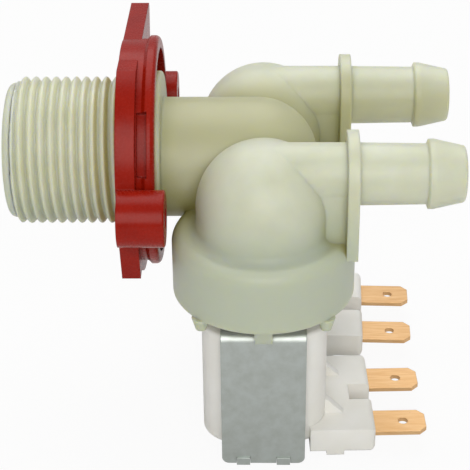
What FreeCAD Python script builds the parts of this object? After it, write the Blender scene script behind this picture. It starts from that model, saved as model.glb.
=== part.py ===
import FreeCAD, Part
import math
import os

os.makedirs("parts", exist_ok=True)

# Double water inlet valve: one threaded inlet, two outlets, two solenoids hanging below.
# Millimetres. X runs along the inlet towards the outlets, Y across the two valves, Z up.
# The origin is on the inlet axis, in the face of the bracket that lies against the panel.

# Inlet: G 3/4 parallel thread, 14 turns to the inch; the plain cylinder is its crest diameter
thread_radius = 13.22
thread_depth = 1.16
lead_radius = 12.1
lead_length = 2.2
lead_taper = 0.9
rim_round = 1.0
inlet_length = 20.6
inlet_wall = 2.5
shoulder_radius = 14.2
shoulder_thickness = 3.6
shoulder_round = 0.6
inlet_bore_depth = 25.6
neck_relief = 0.3

# Pipe from the shoulder to the two chambers
pipe_radius = 10.76
pipe_wall = 2.5
pipe_drop = 1.4
pipe_end_setback = 1.0

# The two valves
valve_x = 24.85
valve_spacing = 30.8
dome_radius = 11.75
dome_drop = 2.8
dome_blend = 1.5
flange_radius = 16.05
flange_top = -7.3
flange_height = 11.4
flange_round = 2.2
lug_width = 3.2
lug_tip_width = 1.9
lug_drop = 2.3
tongue_width = 3.1
tongue_thickness = 2.3
tongue_tip_thickness = 0.7
tongue_drop = 3.6

# Outlet spigots
outlet_rise = 3.45
outlet_reach = 34.3
spigot_root_radius = 5.4
spigot_tip_radius = 5.2
spigot_wall = 1.35
barb_radius = 6.0
barb_land = 0.9
barb_rake = 0.3
barb_setback = 6.6
spigot_nose_radius = 4.95
spigot_nose_round = 0.7
stop_setback = 14.15
stop_thickness = 2.0
stop_radius = 7.55

# Water ways inside each valve
chamber_radius = 12.6
chamber_roof = 1.7
seal_radius = 14.2
seat_radius = 6.2
seat_bore_radius = 4.6
seat_height = 2.5
seal_step = 0.4
port_length = 7.6
port_width = 10.0
port_depth = 5.4
port_sill = 0.25
guide_recess = 0.3

# Diaphragm, its rigid insert, and the plunger that opens the pilot hole
diaphragm_thickness = 1.5
diaphragm_web = 0.7
bead_thickness = 2.0
bead_width = 1.2
diaphragm_centre_radius = 8.2
insert_radius = 7.6
insert_thickness = 1.6
insert_stem_radius = 2.25
insert_head_radius = 2.9
insert_head_height = 0.8
pilot_radius = 0.7
insert_travel = 1.5
insert_gap = 0.5
plunger_radius = 4.0
plunger_length = 27.4
plunger_chamfer = 0.4
plunger_travel = 2.0
plunger_end_gap = 0.2
plunger_seat_radius = 2.2
plunger_seat_length = 3.0
plunger_seat_proud = 1.0
spring_radius = 2.3
spring_wire = 0.5
spring_sides = 8
spring_turns = 7
spring_pocket_depth = 12.0
spring_side_gap = 0.2

# Guide tube
guide_wall = 0.95
guide_floor = 1.3
guide_end_wall = 1.2

# Coil, its moulded housing and the terminal towers
yoke_gap = 2.4
coil_half_width = 11.1
coil_corner_radius = 6.0
coil_height = 23.5
coil_bottom_round = 1.0
coil_top_round = 0.6
coil_turn = 2.0
bobbin_wall = 1.0
bobbin_flange_radius = 10.3
bobbin_flange_thickness = 1.2
bobbin_foot_radius = 8.0
winding_radius = 9.8
sleeve_wall = 1.0
sleeve_length = 11.0
block_reach = 19.9
block_half_width = 11.5
block_height = 4.7
block_drop = 1.55
block_notch_width = 4.7
block_notch_depth = 4.1
block_round = 1.0
block_clear_of_yoke = 0.6
gusset_height = 4.4
gusset_foot_reach = 14.4
gusset_head_reach = 10.2
gusset_thickness = 1.6
gusset_offset = 5.8
foot_length = 3.2
foot_width = 2.2
foot_height = 0.9
foot_reach = 12.65

# Flat tabs, 6.3 by 0.8
tab_width = 6.3
tab_thickness = 0.8
tab_pitch = 13.2
tab_reach = 29.4
tab_root = 11.4
tab_chamfer = 1.3
tab_hole_radius = 0.9
tab_hole_setback = 4.1

# Steel yoke: a folded strip closed by a staked base plate
yoke_width = 14.9
yoke_half_depth = 12.9
yoke_thickness = 1.5
yoke_bend_radius = 2.2
yoke_height = 27.9
yoke_corner_radius = 1.3
base_proud = 0.2
tenon_width = 2.4
tenon_pitch = 7.2
tenon_proud = 0.3

# Bracket that screws to the panel
plate_thickness = 3.3
plate_radius = 21.75
plate_top_front = (-9.0, 19.8)
plate_top_rear = (26.3, 17.9)
plate_rear_bottom = (21.4, -4.0)
plate_corner_radius = 1.2
foot_tab_top = (-19.9, -8.2)
foot_tab_bottom = (-17.8, -16.2)
hub_radius = 20.5
hub_depth = 3.2
hub_wall = 2.2
hub_waist_depth = 0.6
hub_waist_width = 1.0
hub_round = 0.9
window_low_angle = 14.0
window_high_angle = 46.0
window_depth = 1.7
window_inset = 0.2
window_rim = 1.5
boss_radius = 4.85
boss_length = 8.4
boss_spacing = 46.9
boss_hole_radius = 1.8
boss_setback = 0.4
boss_drop = 0.7
boss_round = 0.4

# Inlet filter and flow regulator
filter_depth = 8.0
filter_rim_width = 2.0
filter_rim_thickness = 1.8
basket_length = 8.0
basket_wall = 0.9
basket_ribs = 12
basket_rib_width = 1.3
filter_grip_radius = 1.1
filter_grip_length = 5.5
regulator_thickness = 3.4
regulator_rim_width = 2.6
regulator_spokes = 6
regulator_spoke_width = 1.6
regulator_hub_radius = 5.6
flow_washer_thickness = 2.2
flow_washer_hole = 1.6

# Clearances
push_gap = 0.05
running_gap = 0.05
seat_gap = 0.05
loose_gap = 0.15

# How far a cutting tool stands clear of the wall that it passes through
cutter_margin = 1.0

inlet_bore_radius = thread_radius - thread_depth - inlet_wall
neck_radius = thread_radius - neck_relief
pipe_bore_radius = pipe_radius - pipe_wall
flange_bottom = flange_top - flange_height
chamber_top = flange_top - chamber_roof
seat_z = chamber_top - seat_height
clamp_z = seat_z - seal_step
bead_bottom = clamp_z - bead_thickness
diaphragm_bottom = seat_z - diaphragm_thickness
insert_bottom = diaphragm_bottom - insert_thickness
guide_recess_z = insert_bottom - insert_travel - insert_gap
guide_flange_bottom = min(guide_recess_z - guide_floor, flange_bottom + guide_recess)
seat_top_z = insert_bottom - seat_gap
plunger_top = seat_top_z - plunger_seat_proud
plunger_bottom = plunger_top - plunger_length
guide_bore_radius = plunger_radius + running_gap
guide_radius = guide_bore_radius + guide_wall
guide_end_z = plunger_bottom - plunger_travel - plunger_end_gap
yoke_top = flange_bottom - yoke_gap
yoke_bottom = yoke_top - yoke_height
base_bottom = yoke_bottom - base_proud
base_top = base_bottom + yoke_thickness
coil_top = yoke_top - yoke_thickness
coil_bottom = coil_top - coil_height
sleeve_bore_radius = guide_radius + loose_gap
sleeve_radius = sleeve_bore_radius + sleeve_wall
bobbin_bore_radius = sleeve_radius + push_gap
spigot_bore_radius = spigot_tip_radius - spigot_wall
block_bottom = coil_bottom - block_drop
block_top = block_bottom + block_height
tab_z = 0.5 * (block_bottom + block_top)


def at(x, y, z):
    return FreeCAD.Vector(x, y, z)


def rod(radius, x0, x1, y=0.0, z=0.0):
    """Round bar along X."""
    return Part.makeCylinder(radius, x1 - x0, at(x0, y, z), at(1, 0, 0))


def post(radius, z0, z1):
    """Round bar along Z, on the valve's own axis."""
    return Part.makeCylinder(radius, z1 - z0, at(0, 0, z0), at(0, 0, 1))


def slab(x0, x1, y0, y1, z0, z1):
    """Box between three pairs of faces."""
    return Part.makeBox(x1 - x0, y1 - y0, z1 - z0, at(x0, y0, z0))


def line(a, b):
    return Part.LineSegment(at(*a), at(*b)).toShape()


def arc(a, middle, b):
    return Part.Arc(at(*a), at(*middle), at(*b)).toShape()


def ring_profile(points):
    """Closed outline of straight edges."""
    return Part.makePolygon([at(*p) for p in points] + [at(*points[0])])


def spun(edges_or_wire, axis):
    """Solid of revolution about a line through the origin."""
    wire = edges_or_wire
    if isinstance(edges_or_wire, list):
        wire = Part.Wire(edges_or_wire)
    return Part.Face(wire).revolve(at(0, 0, 0), axis, 360)


def spun_z(points):
    """Straight-sided profile given as (radius, z), turned about Z."""
    return spun(ring_profile([(r, 0, z) for r, z in points]), at(0, 0, 1))


def quarter(centre, radius, from_angle, to_angle, plane):
    """Arc given by angles in degrees; plane turns (u, v) into a point."""
    stops = []
    for angle in (from_angle, 0.5 * (from_angle + to_angle), to_angle):
        turn = math.radians(angle)
        stops.append(plane(centre[0] + radius * math.cos(turn), centre[1] + radius * math.sin(turn)))
    return arc(*stops)


def xz(u, v):
    return (u, 0, v)


def yz(u, v):
    return (0, u, v)


def rounded_box_outline(half_x, half_y, corner, z):
    """Closed wire of a rectangle with round corners, centred on the axis."""
    edges = []
    for k, (sx, sy) in enumerate(((1, 1), (-1, 1), (-1, -1), (1, -1))):
        cx, cy = sx * (half_x - corner), sy * (half_y - corner)
        start = 90 * k
        edges.append(quarter((cx, cy), corner, start, start + 90, lambda u, v: (u, v, z)))
    joined = []
    for k, edge in enumerate(edges):
        following = edges[(k + 1) % 4]
        joined.append(edge)
        joined.append(Part.LineSegment(edge.lastVertex().Point, following.firstVertex().Point).toShape())
    return Part.Wire(joined)


def filleted(shape, radius, wanted):
    """Round the edges that the test picks."""
    return shape.makeFillet(radius, [edge for edge in shape.Edges if wanted(edge)])


def joined(solids):
    return solids[0].multiFuse(solids[1:]).removeSplitter()


def export(name, shape):
    shape.exportStep(f"parts/{name}.step")


def placed(shape, side):
    """Move a piece made on its own valve axis to the front (-1) or the rear (+1) valve."""
    copy = shape.copy()
    copy.translate(at(valve_x, side * 0.5 * valve_spacing, 0))
    return copy


def turned(shape, side):
    """Swing a piece of the coil on its valve axis, each coil a little towards the other."""
    copy = shape.copy()
    copy.rotate(at(0, 0, 0), at(0, 0, 1), -side * coil_turn)
    return copy


def inlet_barrel():
    """Plain lead-in, thread, a neck for the bracket and the shoulder that seats on it."""
    end = -inlet_length
    thread_start = end + lead_length
    seat = plate_thickness
    face = seat + shoulder_thickness
    edges = [
        line((end, 0, 0), (end, 0, lead_radius - rim_round)),
        quarter((end + rim_round, lead_radius - rim_round), rim_round, 180, 90, xz),
        line((end + rim_round, 0, lead_radius), (thread_start, 0, lead_radius)),
        line((thread_start, 0, lead_radius), (thread_start + lead_taper, 0, thread_radius)),
        line((thread_start + lead_taper, 0, thread_radius), (0, 0, thread_radius)),
        line((0, 0, thread_radius), (0, 0, neck_radius)),
        line((0, 0, neck_radius), (seat, 0, neck_radius)),
        line((seat, 0, neck_radius), (seat, 0, shoulder_radius)),
        line((seat, 0, shoulder_radius), (face - shoulder_round, 0, shoulder_radius)),
        quarter((face - shoulder_round, shoulder_radius - shoulder_round), shoulder_round, 90, 0, xz),
        line((face, 0, shoulder_radius - shoulder_round), (face, 0, 0)),
        line((face, 0, 0), (end, 0, 0)),
    ]
    return spun(edges, at(1, 0, 0))


def valve_bell():
    """Dome and chamber flange, turned in one sweep about the valve axis."""
    centre = -dome_drop
    edges = [
        quarter((0, centre), dome_radius, 90, 0, xz),
        line((dome_radius, 0, centre), (dome_radius, 0, flange_top + dome_blend)),
        quarter((dome_radius + dome_blend, flange_top + dome_blend), dome_blend, 180, 270, xz),
        line((dome_radius + dome_blend, 0, flange_top), (flange_radius - flange_round, 0, flange_top)),
        quarter((flange_radius - flange_round, flange_top - flange_round), flange_round, 90, 0, xz),
        line((flange_radius, 0, flange_top - flange_round), (flange_radius, 0, flange_bottom)),
        line((flange_radius, 0, flange_bottom), (0, 0, flange_bottom)),
        line((0, 0, flange_bottom), (0, 0, centre + dome_radius)),
    ]
    return spun(edges, at(0, 0, 1))


def outlet_spigot():
    """Tapered hose spigot with its barb, on the valve's own axis."""
    barb = outlet_reach - barb_setback
    crest_end = barb + barb_rake + barb_land
    nose = outlet_reach - spigot_nose_round
    edges = [
        line((0, 0, 0), (0, 0, spigot_root_radius)),
        line((0, 0, spigot_root_radius), (stop_setback, 0, spigot_root_radius)),
        line((stop_setback, 0, spigot_root_radius), (barb, 0, spigot_tip_radius)),
        line((barb, 0, spigot_tip_radius), (barb + barb_rake, 0, barb_radius)),
        line((barb + barb_rake, 0, barb_radius), (crest_end, 0, barb_radius)),
        line((crest_end, 0, barb_radius), (nose, 0, spigot_nose_radius)),
        quarter((nose, spigot_nose_radius - spigot_nose_round), spigot_nose_round, 90, 0, xz),
        line((outlet_reach, 0, spigot_nose_radius - spigot_nose_round), (outlet_reach, 0, 0)),
        line((outlet_reach, 0, 0), (0, 0, 0)),
    ]
    solid = spun(edges, at(1, 0, 0))
    solid.translate(at(0, 0, outlet_rise))
    return solid


def hose_stop():
    """Plate across the spigot, round above and standing on the flange below."""
    foot = flange_top - flange_round
    edges = [
        quarter((0, outlet_rise), stop_radius, 0, 180, yz),
        line((0, -stop_radius, outlet_rise), (0, -stop_radius, foot)),
        line((0, -stop_radius, foot), (0, stop_radius, foot)),
        line((0, stop_radius, foot), (0, stop_radius, outlet_rise)),
    ]
    plate = Part.Face(Part.Wire(edges)).extrude(at(stop_thickness, 0, 0))
    plate.translate(at(stop_setback, 0, 0))
    return plate


def flange_lugs():
    """Four short lugs under the rim, between the quarters."""
    reach = flange_radius - 0.25 * lug_width
    lugs = []
    for k in range(4):
        turn = math.radians(45 + 90 * k)
        lug = Part.makeCone(0.5 * lug_width, 0.5 * lug_tip_width, lug_drop, at(0, 0, 0), at(0, 0, -1))
        lug.translate(at(reach * math.cos(turn), reach * math.sin(turn), flange_bottom))
        lugs.append(lug)
    return lugs


def yoke_tongue(side):
    """Snap that hangs over the outer leg of the yoke, wedge shaped towards its tip."""
    inner = yoke_half_depth + loose_gap
    outer = inner + tongue_thickness
    outline = ring_profile([
        (0, inner, flange_bottom + guide_recess),
        (0, outer, flange_bottom + guide_recess),
        (0, outer, flange_bottom),
        (0, inner + tongue_tip_thickness, flange_bottom - tongue_drop),
        (0, inner, flange_bottom - tongue_drop),
    ])
    tongue = Part.Face(outline).extrude(at(tongue_width, 0, 0))
    tongue.translate(at(-0.5 * tongue_width, 0, 0))
    if side < 0:
        tongue.rotate(at(0, 0, 0), at(0, 0, 1), 180)
    return tongue


def valve_cavity():
    """Chamber, seat and outlet way, cut from one valve."""
    ring = post(chamber_radius, clamp_z, chamber_top).cut(post(seat_radius, seat_z, chamber_top))
    return joined([
        ring,
        post(seal_radius, flange_bottom, clamp_z),
        post(seat_bore_radius, clamp_z, outlet_rise),
        Part.makeSphere(seat_bore_radius, at(0, 0, outlet_rise)),
        rod(spigot_bore_radius, 0, outlet_reach, 0, outlet_rise),
    ])


def valve_body():
    """One moulding: inlet, pipe, both valves and both spigots."""
    pipe_end = valve_x - pipe_end_setback
    solids = [
        inlet_barrel(),
        rod(pipe_radius, plate_thickness, pipe_end, 0, -pipe_drop),
        Part.makeSphere(pipe_radius, at(pipe_end, 0, -pipe_drop)),
    ]
    for side in (-1, 1):
        pieces = [valve_bell(), outlet_spigot(), hose_stop(), yoke_tongue(side)] + flange_lugs()
        solids += [placed(piece, side) for piece in pieces]
    body = joined(solids)
    bore_end = inlet_bore_depth - inlet_length
    body = body.cut(rod(inlet_bore_radius, -inlet_length, bore_end))
    body = body.cut(rod(pipe_bore_radius, bore_end, pipe_end, 0, -pipe_drop))
    body = body.cut(Part.makeSphere(pipe_bore_radius, at(pipe_end, 0, -pipe_drop)))
    for side in (-1, 1):
        body = body.cut(placed(valve_cavity(), side))
    port_floor = seat_z + port_sill
    port = slab(-0.5 * port_length, 0.5 * port_length, -0.5 * port_width, 0.5 * port_width,
                port_floor, port_floor + port_depth)
    port.translate(at(valve_x, 0, 0))
    return body.cut(port)


def bracket_plate():
    """Plate outline: round on the near side, a straight top and a wing at the rear."""
    start = math.degrees(math.atan2(plate_top_front[1], plate_top_front[0]))
    low = math.degrees(math.atan2(foot_tab_top[1], foot_tab_top[0])) % 360
    low_point = (plate_radius * math.cos(math.radians(low)), plate_radius * math.sin(math.radians(low)))
    high_point = (plate_radius * math.cos(math.radians(start)), plate_radius * math.sin(math.radians(start)))
    bottom_angle = math.degrees(math.asin(foot_tab_bottom[1] / plate_radius)) % 360
    bottom_angle = 540 - bottom_angle
    bottom_point = (plate_radius * math.cos(math.radians(bottom_angle)), foot_tab_bottom[1])
    rear_angle = math.degrees(math.atan2(plate_rear_bottom[1], plate_rear_bottom[0])) + 360
    rear_point = (plate_radius * math.cos(math.radians(rear_angle)),
                  plate_radius * math.sin(math.radians(rear_angle)))
    edges = [
        quarter((0, 0), plate_radius, start, low, yz),
        line(yz(*low_point), yz(*foot_tab_bottom)),
        line(yz(*foot_tab_bottom), yz(*bottom_point)),
        quarter((0, 0), plate_radius, bottom_angle, rear_angle, yz),
        line(yz(*rear_point), yz(*plate_top_rear)),
        line(yz(*plate_top_rear), yz(*high_point)),
    ]
    plate = Part.Face(Part.Wire(edges)).extrude(at(plate_thickness, 0, 0))

    def at_rear_corner(edge):
        middle = edge.CenterOfMass
        return abs(middle.y - plate_top_rear[0]) < 0.01 and abs(middle.z - plate_top_rear[1]) < 0.01

    return filleted(plate, plate_corner_radius, at_rear_corner)


def bracket_hub():
    """Raised ring round the shoulder, waisted where it leaves the plate."""
    face = plate_thickness + hub_depth
    waist_end = plate_thickness + hub_waist_width
    waist = hub_radius - hub_waist_depth
    edges = [
        line((0, 0, hub_radius - hub_wall), (0, 0, waist)),
        line((0, 0, waist), (waist_end, 0, waist)),
        line((waist_end, 0, waist), (waist_end + hub_waist_depth, 0, hub_radius)),
        line((waist_end + hub_waist_depth, 0, hub_radius), (face - hub_round, 0, hub_radius)),
        quarter((face - hub_round, hub_radius - hub_round), hub_round, 90, 0, xz),
        line((face, 0, hub_radius - hub_round), (face, 0, hub_radius - hub_wall)),
        line((face, 0, hub_radius - hub_wall), (0, 0, hub_radius - hub_wall)),
    ]
    return spun(edges, at(1, 0, 0))


def hub_window():
    """Slot through the hub's wall for the locking catch."""
    sweep = window_high_angle - window_low_angle
    outer = Part.makeCylinder(hub_radius + cutter_margin, window_depth, at(plate_thickness + window_inset, 0, 0),
                              at(1, 0, 0), sweep)
    inner = rod(hub_radius - window_rim, plate_thickness, plate_thickness + hub_depth)
    slot = outer.cut(inner)
    start_ray = slot_start_angle()
    slot.rotate(at(0, 0, 0), at(1, 0, 0), 180 - window_high_angle - start_ray)
    return slot


def slot_start_angle():
    """Angle about X, from +Y, at which a part cylinder along X begins."""
    sample = Part.makeCylinder(1, 1, at(0, 0, 0), at(1, 0, 0), 1)
    edge_points = [v.Point for v in sample.Vertexes if abs(v.Point.y) + abs(v.Point.z) > 0.5]
    angles = [math.degrees(math.atan2(p.z, p.y)) for p in edge_points]
    return min(angles)


def mounting_bracket():
    boss_y = 0.5 * boss_spacing
    solids = [bracket_plate(), bracket_hub()]
    for side in (-1, 1):
        boss = rod(boss_radius, boss_setback, boss_length, side * boss_y, -boss_drop)
        solids.append(filleted(boss, boss_round, lambda e: abs(e.CenterOfMass.x - boss_length) < 0.01))
    bracket = joined(solids)
    bracket = bracket.cut(rod(thread_radius + loose_gap, 0, plate_thickness))
    bracket = bracket.cut(rod(hub_radius - hub_wall, plate_thickness, boss_length))
    for side in (-1, 1):
        bracket = bracket.cut(rod(boss_hole_radius, 0, boss_length, side * boss_y, -boss_drop))
    return bracket.cut(hub_window())


def inlet_filter():
    """Push-in strainer: rim, slotted basket and a grip to pull it out by."""
    rim_radius = inlet_bore_radius - push_gap
    start = -inlet_length + filter_depth
    basket_radius = rim_radius - filter_rim_width
    end = start + basket_length
    basket = rod(basket_radius, start, end).cut(rod(basket_radius - basket_wall, start, end - basket_wall))
    rim = rod(rim_radius, start, start + filter_rim_thickness).cut(
        rod(basket_radius - basket_wall, start, start + filter_rim_thickness))
    step = 360 / basket_ribs
    width = 2 * math.pi * basket_radius / basket_ribs - basket_rib_width
    for k in range(basket_ribs):
        slot = slab(start + filter_rim_thickness + basket_wall, end - 2 * basket_wall,
                    0.5 * basket_radius, basket_radius + cutter_margin, -0.5 * width, 0.5 * width)
        slot.rotate(at(0, 0, 0), at(1, 0, 0), step * k)
        basket = basket.cut(slot)
    grip = rod(filter_grip_radius, end - filter_grip_length, end)
    return joined([rim, basket, grip])


def regulator_seat():
    """X of the face that the flow regulator rests on."""
    return inlet_bore_depth - inlet_length


def flow_regulator():
    """Spoked plate at the bottom of the inlet bore that carries the flow washer."""
    end = regulator_seat()
    start = end - regulator_thickness
    rim_radius = inlet_bore_radius - push_gap
    rim = rod(rim_radius, start, end).cut(rod(rim_radius - regulator_rim_width, start, end))
    hub = rod(regulator_hub_radius, start, end)
    spokes = []
    for k in range(regulator_spokes):
        spoke = slab(start, end, 0, rim_radius - 0.5 * regulator_rim_width,
                     -0.5 * regulator_spoke_width, 0.5 * regulator_spoke_width)
        spoke.rotate(at(0, 0, 0), at(1, 0, 0), 360 / regulator_spokes * k)
        spokes.append(spoke)
    plate = joined([rim, hub] + spokes)
    pocket = rod(regulator_hub_radius - basket_wall, start, start + flow_washer_thickness)
    return plate.cut(pocket).cut(rod(flow_washer_hole, start, end))


def flow_washer():
    """Rubber washer that narrows its hole as the pressure rises."""
    start = regulator_seat() - regulator_thickness
    radius = regulator_hub_radius - basket_wall - push_gap
    disc = rod(radius, start, start + flow_washer_thickness)
    return disc.cut(rod(flow_washer_hole, start, start + flow_washer_thickness))


def diaphragm():
    """Rubber disc: clamped bead, thin web and a thick centre that closes the seat."""
    outer = seal_radius - push_gap
    inner = outer - bead_width
    centre = diaphragm_centre_radius
    web_top = diaphragm_bottom + diaphragm_web
    hole = insert_stem_radius
    return spun_z([
        (hole, seat_z), (centre, seat_z), (centre, web_top), (inner, web_top), (inner, clamp_z),
        (outer, clamp_z), (outer, bead_bottom), (inner, bead_bottom), (inner, diaphragm_bottom),
        (hole, diaphragm_bottom),
    ])


def diaphragm_insert():
    """Rigid disc under the rubber, its stem snapped through it, with the pilot hole."""
    head_low = seat_z
    head_top = head_low + insert_head_height
    return spun_z([
        (pilot_radius, insert_bottom), (insert_radius, insert_bottom), (insert_radius, diaphragm_bottom),
        (insert_stem_radius, diaphragm_bottom), (insert_stem_radius, head_low),
        (insert_head_radius, head_low), (insert_stem_radius, head_top), (pilot_radius, head_top),
    ])


def guide_tube():
    """Cup that clamps the diaphragm, with the blind tube that the plunger runs in."""
    outer = seal_radius - push_gap
    inner = outer - bead_width - push_gap
    return spun_z([
        (inner, bead_bottom), (outer, bead_bottom), (outer, guide_flange_bottom),
        (guide_radius, guide_flange_bottom), (guide_radius, guide_end_z - guide_end_wall),
        (0, guide_end_z - guide_end_wall), (0, guide_end_z), (guide_bore_radius, guide_end_z),
        (guide_bore_radius, guide_recess_z), (inner, guide_recess_z),
    ])


def spring_pocket_top():
    return plunger_bottom + spring_pocket_depth


def plunger():
    """Steel armature, bored at the top for its rubber seat and below for the spring."""
    pocket_radius = spring_radius + 0.5 * spring_wire + spring_side_gap
    seat_floor = seat_top_z - plunger_seat_length
    edge = plunger_chamfer
    return spun_z([
        (plunger_seat_radius, plunger_top), (plunger_radius - edge, plunger_top),
        (plunger_radius, plunger_top - edge), (plunger_radius, plunger_bottom + edge),
        (plunger_radius - edge, plunger_bottom), (pocket_radius, plunger_bottom),
        (pocket_radius, spring_pocket_top()), (0, spring_pocket_top()), (0, seat_floor),
        (plunger_seat_radius, seat_floor),
    ])


def plunger_seat():
    return post(plunger_seat_radius, seat_top_z - plunger_seat_length, seat_top_z)


def plunger_spring():
    """Compression spring between the plunger and the closed end of the tube."""
    low = guide_end_z + 0.5 * spring_wire
    high = spring_pocket_top() - 0.5 * spring_wire
    helix = Part.makeHelix((high - low) / spring_turns, high - low, spring_radius)
    corners = []
    for k in range(spring_sides):
        turn = 2 * math.pi * (k + 0.5) / spring_sides
        corners.append((spring_radius + 0.5 * spring_wire * math.cos(turn), 0,
                        0.5 * spring_wire * math.sin(turn)))
    spring = Part.Wire(helix).makePipeShell([ring_profile(corners)], True, True)
    spring.translate(at(0, 0, low))
    return spring


def bobbin():
    """Spool under the wire, with a foot that stands on the base plate."""
    core = bobbin_bore_radius + bobbin_wall
    top_flange = coil_top - bobbin_flange_thickness
    low_flange = coil_bottom + bobbin_flange_thickness
    return spun_z([
        (bobbin_bore_radius, coil_top), (bobbin_flange_radius, coil_top), (bobbin_flange_radius, top_flange),
        (core, top_flange), (core, low_flange + bobbin_flange_thickness),
        (bobbin_flange_radius, low_flange + bobbin_flange_thickness), (bobbin_flange_radius, low_flange),
        (bobbin_foot_radius, low_flange), (bobbin_foot_radius, base_top), (bobbin_bore_radius, base_top),
    ])


def coil_winding():
    core = bobbin_bore_radius + bobbin_wall
    low = coil_bottom + 2 * bobbin_flange_thickness
    high = coil_top - bobbin_flange_thickness
    return spun_z([(core, low), (winding_radius, low), (winding_radius, high), (core, high)])


def pole_sleeve(low, high):
    """Steel bush that carries the magnetic field from the yoke to the plunger."""
    return spun_z([(sleeve_bore_radius, low), (sleeve_radius, low), (sleeve_radius, high),
                   (sleeve_bore_radius, high)])


def terminal(side, clearance=0.0):
    """Flat tab with a chamfered tip and a locking hole; side picks the tower."""
    half = 0.5 * tab_width + clearance
    outline = ring_profile([
        (tab_root - clearance, -half, 0), (tab_reach - tab_chamfer, -half, 0),
        (tab_reach, -half + tab_chamfer, 0), (tab_reach, half - tab_chamfer, 0),
        (tab_reach - tab_chamfer, half, 0), (tab_root - clearance, half, 0),
    ])
    thickness = tab_thickness + 2 * clearance
    tab = Part.Face(outline).extrude(at(0, 0, thickness))
    tab.translate(at(0, 0, -0.5 * thickness))
    if clearance == 0.0:
        hole_x = tab_reach - tab_hole_setback
        hole = Part.makeCylinder(tab_hole_radius, thickness, at(hole_x, 0, -0.5 * thickness))
        tab = tab.cut(hole)
    tab.translate(at(0, side * 0.5 * tab_pitch, tab_z))
    return tab


def terminal_block():
    """Two towers joined to the coil, one round each tab, with gussets and feet."""
    root = coil_half_width - coil_corner_radius
    block_start = 0.5 * yoke_width + block_clear_of_yoke
    block = slab(block_start, block_reach, -block_half_width, block_half_width, block_bottom, block_top)
    block = filleted(block, block_round, lambda e: abs(e.CenterOfMass.x - block_reach) < 0.01)
    notch = slab(block_reach - block_notch_depth, block_reach, -0.5 * block_notch_width,
                 0.5 * block_notch_width, block_bottom, block_top)
    solids = [block.cut(notch)]
    for side in (-1, 1):
        middle = side * gusset_offset
        outline = ring_profile([
            (root, 0, block_top), (gusset_foot_reach, 0, block_top),
            (gusset_head_reach, 0, block_top + gusset_height), (root, 0, block_top + gusset_height),
        ])
        rib = Part.Face(outline).extrude(at(0, gusset_thickness, 0))
        rib.translate(at(0, middle - 0.5 * gusset_thickness, 0))
        solids.append(rib)
        low_edge = side * (block_half_width - foot_width)
        foot = slab(foot_reach - 0.5 * foot_length, foot_reach + 0.5 * foot_length,
                    min(low_edge, side * block_half_width), max(low_edge, side * block_half_width),
                    block_bottom - foot_height, block_bottom)
        solids.append(foot)
    return solids


def coil_housing():
    """White overmoulding: a rounded square body with its terminal towers."""
    outline = rounded_box_outline(coil_half_width, coil_half_width, coil_corner_radius, coil_bottom)
    body = Part.Face(outline).extrude(at(0, 0, coil_height))
    body = filleted(body, coil_bottom_round, lambda e: abs(e.CenterOfMass.z - coil_bottom) < 0.01)
    body = filleted(body, coil_top_round, lambda e: abs(e.CenterOfMass.z - coil_top) < 0.01)
    housing = joined([body] + terminal_block())
    low_flange = coil_bottom + bobbin_flange_thickness
    housing = housing.cut(post(bobbin_flange_radius, low_flange, coil_top))
    housing = housing.cut(post(bobbin_foot_radius, block_bottom, low_flange))
    for side in (-1, 1):
        housing = housing.cut(terminal(side))
    return housing


def yoke_frame():
    """Folded steel strip: two legs and the plate under the flange."""
    outer = yoke_half_depth
    inner = outer - yoke_thickness
    bend = yoke_bend_radius
    inner_bend = bend - yoke_thickness
    edges = [
        line(yz(-outer, yoke_bottom), yz(-outer, yoke_top - bend)),
        quarter((-outer + bend, yoke_top - bend), bend, 180, 90, yz),
        line(yz(-outer + bend, yoke_top), yz(outer - bend, yoke_top)),
        quarter((outer - bend, yoke_top - bend), bend, 90, 0, yz),
        line(yz(outer, yoke_top - bend), yz(outer, yoke_bottom)),
        line(yz(outer, yoke_bottom), yz(inner, yoke_bottom)),
        line(yz(inner, yoke_bottom), yz(inner, yoke_top - bend)),
        quarter((outer - bend, yoke_top - bend), inner_bend, 0, 90, yz),
        line(yz(outer - bend, coil_top), yz(-outer + bend, coil_top)),
        quarter((-outer + bend, yoke_top - bend), inner_bend, 90, 180, yz),
        line(yz(-inner, yoke_top - bend), yz(-inner, yoke_bottom)),
        line(yz(-inner, yoke_bottom), yz(-outer, yoke_bottom)),
    ]
    strip = Part.Face(Part.Wire(edges)).extrude(at(yoke_width, 0, 0))
    strip.translate(at(-0.5 * yoke_width, 0, 0))

    def leg_corner(edge):
        middle = edge.CenterOfMass
        across = abs(edge.BoundBox.YLength - yoke_thickness) < 0.01
        return across and abs(middle.z - yoke_bottom) < 0.01

    strip = filleted(strip, yoke_corner_radius, leg_corner)
    strip = strip.cut(post(sleeve_bore_radius, coil_top, yoke_top))
    for offset in (-0.5 * tenon_pitch, 0.5 * tenon_pitch):
        half = 0.5 * tenon_width + push_gap
        strip = strip.cut(slab(offset - half, offset + half, -outer, outer, yoke_bottom, base_top))
    return strip


def yoke_base_plate():
    """Plate between the legs, its four tenons staked in the notches of the strip."""
    inner = yoke_half_depth - yoke_thickness
    half = 0.5 * yoke_width
    plate = slab(-half, half, -inner, inner, base_bottom, base_top)
    plate = filleted(plate, yoke_corner_radius, lambda e: abs(e.BoundBox.ZLength - yoke_thickness) < 0.01)
    end = yoke_half_depth + tenon_proud
    solids = [plate]
    for offset in (-0.5 * tenon_pitch, 0.5 * tenon_pitch):
        solids.append(slab(offset - 0.5 * tenon_width, offset + 0.5 * tenon_width, -end, end,
                           base_bottom, base_top))
    return joined(solids).cut(post(sleeve_bore_radius, base_bottom, base_top))


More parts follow.
